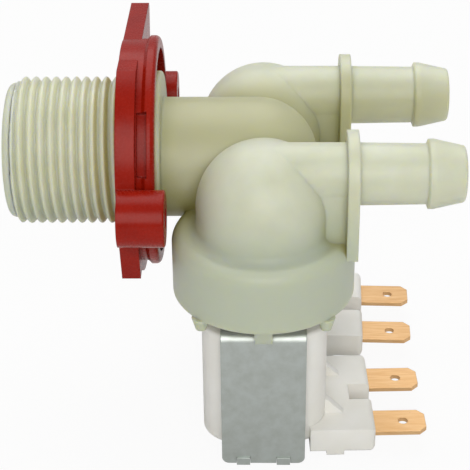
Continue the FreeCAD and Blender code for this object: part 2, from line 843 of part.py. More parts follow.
export("valve_body", valve_body())
export("mounting_bracket", mounting_bracket())
export("inlet_filter", inlet_filter())
export("flow_regulator", flow_regulator())
export("flow_washer", flow_washer())

for side, where in ((-1, "front"), (1, "rear")):
    export(f"diaphragm_{where}", placed(diaphragm(), side))
    export(f"diaphragm_insert_{where}", placed(diaphragm_insert(), side))
    export(f"guide_tube_{where}", placed(guide_tube(), side))
    export(f"plunger_{where}", placed(plunger(), side))
    export(f"plunger_seat_{where}", placed(plunger_seat(), side))
    export(f"plunger_spring_{where}", placed(plunger_spring(), side))
    export(f"bobbin_{where}", placed(bobbin(), side))
    export(f"coil_winding_{where}", placed(coil_winding(), side))
    export(f"pole_sleeve_upper_{where}", placed(pole_sleeve(coil_top - sleeve_length, coil_top), side))
    export(f"pole_sleeve_lower_{where}", placed(pole_sleeve(base_top, base_top + sleeve_length), side))
    export(f"coil_housing_{where}", placed(turned(coil_housing(), side), side))
    export(f"yoke_frame_{where}", placed(yoke_frame(), side))
    export(f"yoke_base_plate_{where}", placed(yoke_base_plate(), side))
    export(f"terminal_outer_{where}", placed(turned(terminal(side), side), side))
    export(f"terminal_inner_{where}", placed(turned(terminal(-side), side), side))
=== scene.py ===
import math

import bpy
from mathutils import Matrix, Vector


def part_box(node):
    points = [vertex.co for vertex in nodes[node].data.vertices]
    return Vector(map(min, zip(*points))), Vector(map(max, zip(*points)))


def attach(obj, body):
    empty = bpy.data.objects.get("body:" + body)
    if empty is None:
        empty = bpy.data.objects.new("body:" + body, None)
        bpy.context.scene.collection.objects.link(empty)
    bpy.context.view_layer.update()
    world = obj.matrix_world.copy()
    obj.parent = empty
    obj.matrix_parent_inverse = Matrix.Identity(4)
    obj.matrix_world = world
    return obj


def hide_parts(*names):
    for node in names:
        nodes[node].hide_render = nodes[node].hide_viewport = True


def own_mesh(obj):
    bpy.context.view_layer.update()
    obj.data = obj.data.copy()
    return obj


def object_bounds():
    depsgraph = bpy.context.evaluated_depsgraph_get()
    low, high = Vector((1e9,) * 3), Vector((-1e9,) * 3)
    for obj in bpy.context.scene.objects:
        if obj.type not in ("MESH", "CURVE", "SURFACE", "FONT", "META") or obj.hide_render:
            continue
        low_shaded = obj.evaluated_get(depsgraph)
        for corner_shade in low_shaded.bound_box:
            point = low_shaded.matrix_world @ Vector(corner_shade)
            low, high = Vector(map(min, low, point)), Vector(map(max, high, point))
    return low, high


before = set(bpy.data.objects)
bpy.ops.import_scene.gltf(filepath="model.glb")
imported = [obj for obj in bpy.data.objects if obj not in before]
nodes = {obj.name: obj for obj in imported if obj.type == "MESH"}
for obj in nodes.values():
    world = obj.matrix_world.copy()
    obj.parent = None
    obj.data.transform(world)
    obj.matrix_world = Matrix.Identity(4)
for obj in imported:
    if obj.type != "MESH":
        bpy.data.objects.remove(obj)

mm = 0.001

cad_low, cad_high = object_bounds()
bpy.ops.object.select_all(action="DESELECT")


# The body is one moulding of natural nylon: threaded inlet, pipe, two domes with their flanges
# and two hose spigots. The bracket sits round its inlet, and a coil hangs under each flange.
# The inlet has a G 3/4 parallel thread, 14 turns to the inch, with the rounded form of the mould.

thread_pitch = 25.4 / 14 * mm
thread_depth = 1.09 * mm
thread_crest = 13.19 * mm
thread_root = thread_crest - thread_depth
thread_lead = 1.4 * mm
thread_fade = 0.6 * mm
thread_phase = 2.03 * mm
crest_sharpness = 0.62
turns_before = 2
turns_spare = 4
points_per_pitch = 10
thread_facets = 128

body_low, body_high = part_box("valve_body")
thread_start = body_low.x + thread_lead
thread_end = 0.0

corner_merge = 0.001 * mm
sweep_merge = 0.002 * mm
seam_gap = 0.05 * mm
seam_reach = 0.1 * mm
wall_margin = 0.01 * mm

# Under each spigot the real moulding has a wall down to the flange, which the solids lack.

plunger_low, plunger_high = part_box("plunger_front")
valve_axis_x = (plunger_low.x + plunger_high.x) / 2
spigot_axis_y = -(plunger_low.y + plunger_high.y) / 2
spigot_axis_z = 3.45 * mm
web_start = valve_axis_x + 8 * mm
web_end = valve_axis_x + 14.4 * mm
web_half = 5.15 * mm
web_drop = 1.2 * mm
web_top = spigot_axis_z - web_drop
web_foot = -7.6 * mm
web_hollow = 4.6 * mm
hollow_facets = 48
web_crease = math.radians(30)


def own_copy(name, new_name):
    """Copy of a CAD node with its own mesh, free of its body, selected and active."""
    piece = nodes[name].copy()
    piece.data = piece.data.copy()
    piece.name = new_name
    bpy.context.scene.collection.objects.link(piece)
    piece.parent = None
    bpy.ops.object.select_all(action="DESELECT")
    piece.select_set(True)
    bpy.context.view_layer.objects.active = piece
    return piece


def merge_corners():
    """Join the loose triangles of the active piece."""
    bpy.ops.object.mode_set(mode="EDIT")
    bpy.ops.mesh.select_all(action="SELECT")
    bpy.ops.mesh.remove_doubles(threshold=corner_merge)
    bpy.ops.object.mode_set(mode="OBJECT")


def turn_faces_out():
    """Point all faces of the piece in edit mode outwards, and leave edit mode."""
    bpy.ops.mesh.select_all(action="SELECT")
    bpy.ops.mesh.normals_make_consistent(inside=False)
    bpy.ops.object.mode_set(mode="OBJECT")


def keep_normals(piece):
    """Store the corner normals, so that they outlive a change of the mesh."""
    kept = piece.data.attributes.new("kept_normal", "FLOAT_VECTOR", "CORNER")
    flat = [component for normal in piece.data.corner_normals for component in normal.vector]
    kept.data.foreach_set("vector", flat)


def threaded_wall():
    """Profile of the thread, swept once round with a rise of one pitch, then cut to length."""
    bpy.ops.mesh.primitive_plane_add(size=mm)
    wall = bpy.context.object
    bpy.ops.object.mode_set(mode="EDIT")
    bpy.ops.mesh.select_mode(type="VERT")
    bpy.ops.mesh.select_all(action="SELECT")
    bpy.ops.mesh.merge(type="CENTER")
    first = body_low.x + thread_phase - turns_before * thread_pitch
    bpy.ops.transform.translate(value=(first, 0, thread_root))
    step = thread_pitch / points_per_pitch
    turns = math.ceil((thread_end - thread_start) / thread_pitch) + turns_spare
    height = 0.0
    for k in range(1, turns * points_per_pitch + 1):
        swing = 0.5 - 0.5 * math.cos(2 * math.pi * k / points_per_pitch)
        new_height = thread_depth * swing ** crest_sharpness
        bpy.ops.mesh.extrude_region_move(
            TRANSFORM_OT_translate={"value": (step, 0, new_height - height)})
        height = new_height
    bpy.ops.object.mode_set(mode="OBJECT")
    sweep = wall.modifiers.new("sweep", "SCREW")
    sweep.axis = "X"
    sweep.steps = sweep.render_steps = thread_facets
    sweep.screw_offset = thread_pitch
    sweep.use_merge_vertices = True
    sweep.merge_threshold = corner_merge
    sweep.use_smooth_shade = True
    bpy.ops.object.modifier_apply(modifier="sweep")
    bpy.ops.object.mode_set(mode="EDIT")
    bpy.ops.mesh.select_all(action="SELECT")
    bpy.ops.mesh.remove_doubles(threshold=sweep_merge)
    for x, keep_right in ((thread_start + seam_gap, True), (thread_end - seam_gap, False)):
        bpy.ops.mesh.select_all(action="SELECT")
        bpy.ops.mesh.bisect(plane_co=(x, 0, 0), plane_no=(1, 0, 0),
                            clear_inner=keep_right, clear_outer=not keep_right)
    turn_faces_out()
    for vertex in wall.data.vertices:
        run = (vertex.co.x - thread_start) / thread_fade
        limit = thread_root + thread_depth * min(max(run, 0.0), 1.0)
        radius = math.hypot(vertex.co.y, vertex.co.z)
        if radius > limit:
            vertex.co.y *= limit / radius
            vertex.co.z *= limit / radius
    return wall


def spigot_web():
    """Wall under the front spigot, from dome to stop plate, hollowed where the water runs."""
    middle_x = (web_start + web_end) / 2
    bpy.ops.mesh.primitive_cube_add(size=1)
    web = bpy.context.object
    web.scale = (web_end - web_start, 2 * web_half, web_top - web_foot)
    web.location = (middle_x, -spigot_axis_y, (web_foot + web_top) / 2)
    bpy.ops.object.transform_apply(location=True, rotation=True, scale=True)
    bpy.ops.mesh.primitive_cylinder_add(
        vertices=hollow_facets, radius=web_hollow, depth=2 * (web_end - web_start),
        location=(middle_x, -spigot_axis_y, spigot_axis_z), rotation=(0, math.pi / 2, 0))
    hollow = bpy.context.object
    bpy.context.view_layer.objects.active = web
    cut = web.modifiers.new("hollow", "BOOLEAN")
    cut.operation = "DIFFERENCE"
    cut.object = hollow
    bpy.ops.object.modifier_apply(modifier="hollow")
    bpy.data.objects.remove(hollow)
    bpy.ops.object.select_all(action="DESELECT")
    web.select_set(True)
    bpy.ops.object.shade_smooth_by_angle(angle=web_crease)
    keep_normals(web)
    return web


def add_webs(body):
    """Unite the body with a web under each spigot."""
    front_web = spigot_web()
    rear_web = front_web.copy()
    rear_web.data = front_web.data.copy()
    bpy.context.scene.collection.objects.link(rear_web)
    rear_web.location.y = 2 * spigot_axis_y
    bpy.context.view_layer.objects.active = body
    for web in (front_web, rear_web):
        grown = body.modifiers.new("web", "BOOLEAN")
        grown.operation = "UNION"
        grown.object = web
        bpy.ops.object.modifier_apply(modifier="web")
        bpy.data.objects.remove(web)


def open_inlet_wall(body):
    """Delete the plain wall that the solids have in place of the thread."""
    bpy.ops.object.select_all(action="DESELECT")
    body.select_set(True)
    bpy.ops.object.mode_set(mode="EDIT")
    bpy.ops.mesh.select_all(action="SELECT")
    bpy.ops.mesh.bisect(plane_co=(thread_start, 0, 0), plane_no=(1, 0, 0))
    bpy.ops.mesh.select_mode(type="FACE")
    bpy.ops.mesh.select_all(action="DESELECT")
    bpy.ops.object.mode_set(mode="OBJECT")
    first_x, last_x = thread_start - wall_margin, thread_end + wall_margin
    for face in body.data.polygons:
        corners = [body.data.vertices[v].co for v in face.vertices]
        along = all(first_x < c.x < last_x for c in corners)
        on_wall = all(math.hypot(c.y, c.z) > thread_root - wall_margin for c in corners)
        flat_end = abs(face.normal.x) > 0.99
        face.select = along and on_wall and not flat_end
    bpy.ops.object.mode_set(mode="EDIT")
    bpy.ops.mesh.delete(type="FACE")
    bpy.ops.object.mode_set(mode="OBJECT")


def close_seams(body):
    """Bridge the open rims of body and thread at both ends of the thread."""
    bpy.ops.object.mode_set(mode="EDIT")
    bpy.ops.mesh.select_mode(type="EDGE")
    for x in (thread_start, thread_end):
        bpy.ops.mesh.select_all(action="DESELECT")
        bpy.ops.mesh.select_non_manifold(extend=False, use_wire=False, use_multi_face=False,
                                         use_non_contiguous=False, use_verts=False)
        bpy.ops.object.mode_set(mode="OBJECT")
        for edge in body.data.edges:
            one, other = [body.data.vertices[v].co for v in edge.vertices]
            edge.select = edge.select and abs(((one + other) / 2).x - x) < seam_reach
        bpy.ops.object.mode_set(mode="EDIT")
        bpy.ops.mesh.bridge_edge_loops()
    turn_faces_out()


def restore_normals(body):
    """Give back the stored corner normals, and computed ones to the faces that have none."""
    body.data.shade_smooth()
    computed = [corner_shade.vector.copy() for corner_shade in body.data.corner_normals]
    normals = []
    for stored, own in zip(body.data.attributes["kept_normal"].data, computed):
        normals.append(stored.vector if stored.vector.length > 0.5 else own)
    body.data.normals_split_custom_set(normals)
    body.data.attributes.remove(body.data.attributes["kept_normal"])


def threaded_body():
    """Copy of the body with its plain inlet wall exchanged for the thread, and with its webs."""
    body = own_copy("valve_body", "valve_body_threaded")
    keep_normals(body)
    merge_corners()
    add_webs(body)
    open_inlet_wall(body)
    wall = threaded_wall()
    bpy.ops.object.select_all(action="DESELECT")
    wall.select_set(True)
    body.select_set(True)
    bpy.context.view_layer.objects.active = body
    bpy.ops.object.join()
    close_seams(body)
    restore_normals(body)
    return body


# Natural nylon is pale cream with a satin skin. Light goes a few millimetres in, so edges glow.
# Painted shade is laid into its colour: corners and creases painted olive, the lower part with
# the flanges painted darker and greener towards the bottom, and the pipe between the domes
# darker.

def linear(colour):
    """sRGB hex to a linear colour."""
    parts = [int(colour[k:k + 2], 16) / 255 for k in (1, 3, 5)]
    return [p / 12.92 if p <= 0.04045 else ((p + 0.055) / 1.055) ** 2.4 for p in parts] + [1.0]


def add(material, kind, settings=None, **inputs):
    """Add a node: settings are its own options, inputs take a value or another node's output."""
    node = material.node_tree.nodes.new("ShaderNode" + kind)
    for name, value in (settings or {}).items():
        setattr(node, name, value)
    for name, value in inputs.items():
        key = int(name[1:]) if name[0] == "_" else name.replace("_", " ")
        if isinstance(value, bpy.types.NodeSocket):
            material.node_tree.links.new(value, node.inputs[key])
        else:
            node.inputs[key].default_value = value
    return node


def blank(name):
    """A new material with only its output left."""
    material = bpy.data.materials.new(name)
    material.use_nodes = True
    for node in list(material.node_tree.nodes):
        if node.type != "OUTPUT_MATERIAL":
            material.node_tree.nodes.remove(node)
    return material


def place_in(material, shader):
    """Send the finished shader to the surface."""
    output = material.node_tree.nodes["Material Output"]
    material.node_tree.links.new(shader.outputs[0], output.inputs["Surface"])
    return material


def natural_nylon_moulded():
    cloud_size, patch_size, wave_size, grain_size = 9 * mm, 2.5 * mm, 5 * mm, 0.35 * mm
    wave_height, grain_height = 0.05 * mm, 0.01 * mm
    edge_round, corner_shade_reach, light_depth = 0.6 * mm, 10 * mm, 2.5 * mm
    # Heights between which the painted shade low down fades out.
    low_shade_full_below, low_shade_gone_above = -9 * mm, 4 * mm
    # Where the pipe between the domes gets painted shade, across it and along it.
    pipe_flank, pipe_clear = 8 * mm, 14 * mm
    pipe_begins, pipe_full = 5 * mm, 8 * mm
    material = blank("natural nylon, moulded")
    smooth = {"interpolation_type": "SMOOTHSTEP"}
    place = add(material, "TexCoord").outputs["Object"]
    cloud = add(material, "TexNoise", Vector=place, Scale=1 / cloud_size, Detail=3.0,
                Roughness=0.55)
    pale = add(material, "ValToRGB", Fac=cloud.outputs["Fac"])
    pale.color_ramp.elements[0].position = 0.32
    pale.color_ramp.elements[0].color = linear("#D2D5BD")
    pale.color_ramp.elements[1].position = 0.7
    pale.color_ramp.elements[1].color = linear("#DCDFCB")
    where = add(material, "SeparateXYZ", Vector=place)
    # Painted shade: the colour turns darker and greener towards the bottom, over the flanges
    # (#C3CAB6 below).
    low_shade = add(material, "MapRange", smooth, _0=where.outputs["Z"],
                 _1=low_shade_full_below, _2=low_shade_gone_above)
    low_shaded = add(material, "Mix", {"data_type": "RGBA"}, _0=low_shade.outputs["Result"],
                _6=linear("#C3CAB6"), _7=pale.outputs["Color"])
    # Painted shade: the pipe between the domes is painted darker and yellower (#BEBE98).
    side = add(material, "Math", {"operation": "ABSOLUTE"}, _0=where.outputs["Y"])
    pipe_shade_across = add(material, "MapRange", smooth, _0=side.outputs[0],
                 _1=pipe_flank, _2=pipe_clear, _3=1.0, _4=0.0)
    pipe_shade_along = add(material, "MapRange", smooth, _0=where.outputs["X"],
                 _1=pipe_begins, _2=pipe_full)
    pipe_shade = add(material, "Math", {"operation": "MULTIPLY"}, _0=pipe_shade_across.outputs["Result"],
                _1=pipe_shade_along.outputs["Result"])
    pipe_shaded = add(material, "Mix", {"data_type": "RGBA"}, _0=pipe_shade.outputs[0],
                 _6=low_shaded.outputs[2], _7=linear("#BEBE98"))
    # Painted shade: corners and creases are painted olive (#A29D55) where ambient occlusion finds
    # them.
    corner_shade = add(material, "AmbientOcclusion", {"samples": 8}, Distance=corner_shade_reach)
    unshaded_share = add(material, "MapRange", _0=corner_shade.outputs["AO"], _1=0.1, _2=0.62)
    tint = add(material, "Mix", {"data_type": "RGBA"}, _0=unshaded_share.outputs["Result"],
               _6=linear("#A29D55"), _7=pipe_shaded.outputs[2])
    patches = add(material, "TexNoise", Vector=place, Scale=1 / patch_size, Detail=4.0)
    rough = add(material, "MapRange", _0=patches.outputs["Fac"], _3=0.36, _4=0.5)
    edge = add(material, "Bevel", {"samples": 8}, Radius=edge_round)
    waviness = add(material, "TexNoise", Vector=place, Scale=1 / wave_size, Detail=2.0)
    soft = add(material, "Bump", Strength=0.4, Distance=wave_height,
               Height=waviness.outputs["Fac"], Normal=edge.outputs["Normal"])
    skin = add(material, "TexNoise", Vector=place, Scale=1 / grain_size, Detail=3.0)
    fine = add(material, "Bump", Strength=0.3, Distance=grain_height,
               Height=skin.outputs["Fac"], Normal=soft.outputs["Normal"])
    return place_in(material, add(
        material, "BsdfPrincipled", {"subsurface_method": "RANDOM_WALK"},
        Base_Color=tint.outputs[2], Roughness=rough.outputs["Result"],
        Normal=fine.outputs["Normal"], IOR=1.53, Subsurface_Weight=0.8,
        Subsurface_Radius=(1.0, 0.85, 0.35), Subsurface_Scale=light_depth))


nylon = natural_nylon_moulded()
valve_body = threaded_body()
valve_body.data.materials.clear()
valve_body.data.materials.append(nylon)
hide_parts("valve_body")
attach(valve_body, "valve")


# The bracket is one red plastic moulding that sits round the inlet and is screwed to the panel
# of the appliance by its two bosses. Its skin is satin, with faint darker and paler clouds and a
# fine grain, and its edges are a little rounded.

def red_plastic_moulded():
    cloud_size, grain_size = 6 * mm, 0.5 * mm
    grain_height, edge_round = 0.015 * mm, 0.25 * mm
    material = blank("red plastic, moulded")
    place = add(material, "TexCoord").outputs["Object"]
    cloud = add(material, "TexNoise", Vector=place, Scale=1 / cloud_size, Detail=4.0,
                Roughness=0.6)
    tint = add(material, "ValToRGB", Fac=cloud.outputs["Fac"])
    tint.color_ramp.elements[0].position = 0.3
    tint.color_ramp.elements[0].color = linear("#8E1405")
    tint.color_ramp.elements[1].position = 0.7
    tint.color_ramp.elements[1].color = linear("#A11D0A")
    grain = add(material, "TexNoise", Vector=place, Scale=1 / grain_size, Detail=4.0)
    rough = add(material, "MapRange", _0=grain.outputs["Fac"], _3=0.22, _4=0.32)
    edge = add(material, "Bevel", {"samples": 6}, Radius=edge_round)
    skin = add(material, "Bump", Strength=0.3, Distance=grain_height,
               Height=grain.outputs["Fac"], Normal=edge.outputs["Normal"])
    return place_in(material, add(
        material, "BsdfPrincipled", Base_Color=tint.outputs["Color"],
        Roughness=rough.outputs["Result"], Normal=skin.outputs["Normal"], IOR=1.55,
        Specular_IOR_Level=0.15))


def finish_nodes(material, *names):
    """Give CAD nodes their material."""
    for name in names:
        nodes[name].data.materials.clear()
        nodes[name].data.materials.append(material)


red_plastic = red_plastic_moulded()
finish_nodes(red_plastic, "mounting_bracket")


# The coils are moulded over in white polyester, on bobbins of the same: milky, a little
# see-through at the edges, with a satin skin.

def white_polyester_moulded():
    cloud_size, grain_size = 7 * mm, 0.5 * mm
    grain_height, edge_round, light_depth = 0.015 * mm, 0.3 * mm, 1.2 * mm
    material = blank("white polyester, moulded")
    place = add(material, "TexCoord").outputs["Object"]
    cloud = add(material, "TexNoise", Vector=place, Scale=1 / cloud_size, Detail=3.0)
    tint = add(material, "ValToRGB", Fac=cloud.outputs["Fac"])
    tint.color_ramp.elements[0].position = 0.3
    tint.color_ramp.elements[0].color = linear("#F3F1EA")
    tint.color_ramp.elements[1].position = 0.7
    tint.color_ramp.elements[1].color = linear("#FAF8F3")
    grain = add(material, "TexNoise", Vector=place, Scale=1 / grain_size, Detail=3.0)
    rough = add(material, "MapRange", _0=grain.outputs["Fac"], _3=0.36, _4=0.5)
    edge = add(material, "Bevel", {"samples": 6}, Radius=edge_round)
    skin = add(material, "Bump", Strength=0.3, Distance=grain_height,
               Height=grain.outputs["Fac"], Normal=edge.outputs["Normal"])
    return place_in(material, add(
        material, "BsdfPrincipled", {"subsurface_method": "RANDOM_WALK"},
        Base_Color=tint.outputs["Color"], Roughness=rough.outputs["Result"],
        Normal=skin.outputs["Normal"], IOR=1.55, Subsurface_Weight=0.3,
        Subsurface_Radius=(1.0, 0.95, 0.85), Subsurface_Scale=light_depth))


white_polyester = white_polyester_moulded()
finish_nodes(white_polyester, "coil_housing_front", "coil_housing_rear", "bobbin_front",
             "bobbin_rear")


# The yokes and pole sleeves are punched and folded from zinc-plated steel sheet. The plating is
# dull and blotchy, with drawing lines along the strip and paler folds and cut edges.

def zinc_plated_sheet():
    blotch_size, line_width, line_stretch = 2.2 * mm, 0.16 * mm, 0.06
    line_height, dent_height, edge_round = 0.01 * mm, 0.02 * mm, 0.2 * mm
    material = blank("zinc-plated steel sheet")
    place = add(material, "TexCoord").outputs["Object"]
    blotch = add(material, "TexNoise", Vector=place, Scale=1 / blotch_size, Detail=6.0,
                 Roughness=0.6)
    tint = add(material, "ValToRGB", Fac=blotch.outputs["Fac"])
    tint.color_ramp.elements[0].position = 0.32
    tint.color_ramp.elements[0].color = linear("#B3B8B3")
    tint.color_ramp.elements[1].position = 0.66
    tint.color_ramp.elements[1].color = linear("#BEC4C1")
    rough = add(material, "MapRange", _0=blotch.outputs["Fac"], _3=0.46, _4=0.38)
    stretch = add(material, "Mapping", Vector=place, Scale=(1.0, 1.0, line_stretch))
    lines = add(material, "TexNoise", Vector=stretch.outputs["Vector"], Scale=1 / line_width,
                Detail=3.0)
    edge = add(material, "Bevel", {"samples": 6}, Radius=edge_round)
    drawn = add(material, "Bump", Strength=0.35, Distance=line_height,
                Height=lines.outputs["Fac"], Normal=edge.outputs["Normal"])
    dents = add(material, "Bump", Strength=0.2, Distance=dent_height,
                Height=blotch.outputs["Fac"], Normal=drawn.outputs["Normal"])
    return place_in(material, add(
        material, "BsdfPrincipled", Base_Color=tint.outputs["Color"],
        Roughness=rough.outputs["Result"], Normal=dents.outputs["Normal"], Metallic=1.0))


zinc = zinc_plated_sheet()
finish_nodes(zinc, "yoke_frame_front", "yoke_frame_rear", "yoke_base_plate_front",
             "yoke_base_plate_rear", "pole_sleeve_upper_front", "pole_sleeve_upper_rear",
             "pole_sleeve_lower_front", "pole_sleeve_lower_rear")


# The flat tabs are stamped from phosphor bronze strip and held in the coils' towers: warm
# orange, rolled along their length, with small dark specks of tarnish.

def phosphor_bronze_rolled():
    line_width, line_stretch, speck_size = 0.3 * mm, 0.08, 0.9 * mm
    line_height, edge_round = 0.01 * mm, 0.12 * mm
    material = blank("phosphor bronze, rolled strip")
    place = add(material, "TexCoord").outputs["Object"]
    stretch = add(material, "Mapping", Vector=place, Scale=(line_stretch, 1.0, 1.0))
    lines = add(material, "TexNoise", Vector=stretch.outputs["Vector"], Scale=1 / line_width,
                Detail=5.0)
    tint = add(material, "ValToRGB", Fac=lines.outputs["Fac"])
    tint.color_ramp.elements[0].position = 0.3
    tint.color_ramp.elements[0].color = linear("#DCAD77")
    tint.color_ramp.elements[1].position = 0.7
    tint.color_ramp.elements[1].color = linear("#ECC594")
    speck = add(material, "TexNoise", Vector=place, Scale=1 / speck_size, Detail=5.0,
                Roughness=0.75)
    dark = add(material, "MapRange", _0=speck.outputs["Fac"], _1=0.66, _2=0.74)
    colour = add(material, "Mix", {"data_type": "RGBA"}, _0=dark.outputs["Result"],
                 _6=tint.outputs["Color"], _7=linear("#9A7040"))
    edge = add(material, "Bevel", {"samples": 6}, Radius=edge_round)
    rolled = add(material, "Bump", Strength=0.3, Distance=line_height,
                 Height=lines.outputs["Fac"], Normal=edge.outputs["Normal"])
    rough = add(material, "MapRange", _0=lines.outputs["Fac"], _3=0.3, _4=0.46)
    return place_in(material, add(
        material, "BsdfPrincipled", Base_Color=colour.outputs[2],
        Roughness=rough.outputs["Result"], Normal=rolled.outputs["Normal"], Metallic=1.0))


bronze = phosphor_bronze_rolled()
finish_nodes(bronze, "terminal_outer_front", "terminal_inner_front", "terminal_outer_rear",
             "terminal_inner_rear")


# The diaphragms, the washer of the flow regulator and the plungers' seats are moulded in black
# EPDM rubber: matt, with a dusty bloom in patches.

def epdm_rubber_moulded():
    bloom_size, grain_size, grain_height = 2 * mm, 0.2 * mm, 0.015 * mm
    material = blank("EPDM rubber, moulded")
    place = add(material, "TexCoord").outputs["Object"]
    bloom = add(material, "TexNoise", Vector=place, Scale=1 / bloom_size, Detail=4.0)
    tint = add(material, "ValToRGB", Fac=bloom.outputs["Fac"])
    tint.color_ramp.elements[0].position = 0.4
    tint.color_ramp.elements[0].color = linear("#1B1B1C")
    tint.color_ramp.elements[1].position = 0.75
    tint.color_ramp.elements[1].color = linear("#2C2C2D")
    grain = add(material, "TexNoise", Vector=place, Scale=1 / grain_size, Detail=3.0)
    rough = add(material, "MapRange", _0=grain.outputs["Fac"], _3=0.6, _4=0.8)
    skin = add(material, "Bump", Strength=0.4, Distance=grain_height,
               Height=grain.outputs["Fac"])
    return place_in(material, add(
        material, "BsdfPrincipled", Base_Color=tint.outputs["Color"],
        Roughness=rough.outputs["Result"], Normal=skin.outputs["Normal"], IOR=1.5))


rubber = epdm_rubber_moulded()
finish_nodes(rubber, "diaphragm_front", "diaphragm_rear", "flow_washer", "plunger_seat_front",
             "plunger_seat_rear")


# The guide tubes and the diaphragms' inserts are moulded in white acetal, and the filter and
# the flow regulator in a greyer grade: dense, slightly waxy, with a fine grain. The tubes clamp
# the diaphragms, and filter and regulator are pushed into the inlet.

def acetal_moulded(name, dark, light):
    cloud_size, grain_size = 4 * mm, 0.3 * mm
    grain_height, edge_round, light_depth = 0.01 * mm, 0.15 * mm, 0.6 * mm
    material = blank(name)
    place = add(material, "TexCoord").outputs["Object"]
    cloud = add(material, "TexNoise", Vector=place, Scale=1 / cloud_size, Detail=3.0)
    tint = add(material, "ValToRGB", Fac=cloud.outputs["Fac"])
    tint.color_ramp.elements[0].position = 0.3
    tint.color_ramp.elements[0].color = linear(dark)
    tint.color_ramp.elements[1].position = 0.7
    tint.color_ramp.elements[1].color = linear(light)
    grain = add(material, "TexNoise", Vector=place, Scale=1 / grain_size, Detail=3.0)
    rough = add(material, "MapRange", _0=grain.outputs["Fac"], _3=0.3, _4=0.42)
    edge = add(material, "Bevel", {"samples": 6}, Radius=edge_round)
    skin = add(material, "Bump", Strength=0.3, Distance=grain_height,
               Height=grain.outputs["Fac"], Normal=edge.outputs["Normal"])
    return place_in(material, add(
        material, "BsdfPrincipled", {"subsurface_method": "RANDOM_WALK"},
        Base_Color=tint.outputs["Color"], Roughness=rough.outputs["Result"],
        Normal=skin.outputs["Normal"], IOR=1.48, Subsurface_Weight=0.3,
        Subsurface_Radius=(1.0, 0.95, 0.9), Subsurface_Scale=light_depth))


white_acetal = acetal_moulded("white acetal, moulded", "#DDDBD3", "#E8E6E0")
grey_acetal = acetal_moulded("pale grey acetal, moulded", "#C6C8C4", "#D2D4D0")
finish_nodes(white_acetal, "guide_tube_front", "guide_tube_rear", "diaphragm_insert_front",
             "diaphragm_insert_rear")
finish_nodes(grey_acetal, "inlet_filter", "flow_regulator")


# The filter's slots are closed by a fine gauze of white plastic threads, fixed in the basket
# when that is moulded. It keeps sand from the seats.

gauze_radius = 6.45 * mm
gauze_cell = 0.55 * mm
gauze_thread = 0.11 * mm
gauze_lip = 0.3 * mm
gauze_floor = 1.2 * mm

filter_low, filter_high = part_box("inlet_filter")
gauze_length = filter_high.x - filter_low.x - gauze_lip - gauze_floor
cells_around = round(2 * math.pi * gauze_radius / gauze_cell)
cells_along = round(gauze_length / gauze_cell)
bpy.ops.mesh.primitive_circle_add(vertices=cells_around, radius=gauze_radius,
                                  fill_type="NOTHING",
                                  location=(filter_low.x + gauze_lip, 0, 0),
                                  rotation=(0, math.pi / 2, 0))
gauze = bpy.context.object
gauze.name = "filter_gauze"
bpy.ops.object.transform_apply(location=True, rotation=True, scale=True)
bpy.ops.object.mode_set(mode="EDIT")
bpy.ops.mesh.select_all(action="SELECT")
for ring in range(cells_along):
    bpy.ops.mesh.extrude_region_move(
        TRANSFORM_OT_translate={"value": (gauze_length / cells_along, 0, 0)})
turn_faces_out()
threads = gauze.modifiers.new("threads", "WIREFRAME")
threads.thickness = gauze_thread
threads.use_boundary = True
bpy.ops.object.modifier_apply(modifier="threads")
gauze.data.materials.append(white_acetal)
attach(gauze, "valve")


# The plungers are turned and ground from magnetic stainless bar, and slide in the guide tubes:
# bright, with fine rings round them.

def stainless_ground():
    ring_width, ring_stretch = 0.12 * mm, 0.05
    ring_height, edge_round = 0.005 * mm, 0.1 * mm
    material = blank("stainless steel, ground")
    place = add(material, "TexCoord").outputs["Object"]
    stretch = add(material, "Mapping", Vector=place, Scale=(ring_stretch, ring_stretch, 1.0))
    rings = add(material, "TexNoise", Vector=stretch.outputs["Vector"], Scale=1 / ring_width,
                Detail=3.0)
    tint = add(material, "ValToRGB", Fac=rings.outputs["Fac"])
    tint.color_ramp.elements[0].position = 0.3
    tint.color_ramp.elements[0].color = linear("#B9BBBB")
    tint.color_ramp.elements[1].position = 0.7
    tint.color_ramp.elements[1].color = linear("#C9CBCB")
    rough = add(material, "MapRange", _0=rings.outputs["Fac"], _3=0.22, _4=0.34)
    edge = add(material, "Bevel", {"samples": 6}, Radius=edge_round)
    ground = add(material, "Bump", Strength=0.3, Distance=ring_height,
                 Height=rings.outputs["Fac"], Normal=edge.outputs["Normal"])
    return place_in(material, add(
        material, "BsdfPrincipled", Base_Color=tint.outputs["Color"],
        Roughness=rough.outputs["Result"], Normal=ground.outputs["Normal"], Metallic=1.0))


stainless = stainless_ground()
finish_nodes(stainless, "plunger_front", "plunger_rear", "plunger_spring_front",
             "plunger_spring_rear")


# The springs are wound from stainless wire, as bright as the plungers. Each stands on the closed
# end of its guide tube and pushes its plunger up. The real spring shortens as the plunger comes
# down; this copy keeps its length.

wire_crease = math.radians(60)

for side in ("front", "rear"):
    spring = own_copy(f"plunger_spring_{side}", f"plunger_spring_{side}_wound")
    merge_corners()
    bpy.ops.object.shade_smooth_by_angle(angle=wire_crease)
    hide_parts(f"plunger_spring_{side}")
    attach(spring, "valve")
    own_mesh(spring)


# The windings are several thousand turns of enamelled copper wire, laid side by side on the
# bobbins. The turns show as fine rings, warm and glossy.

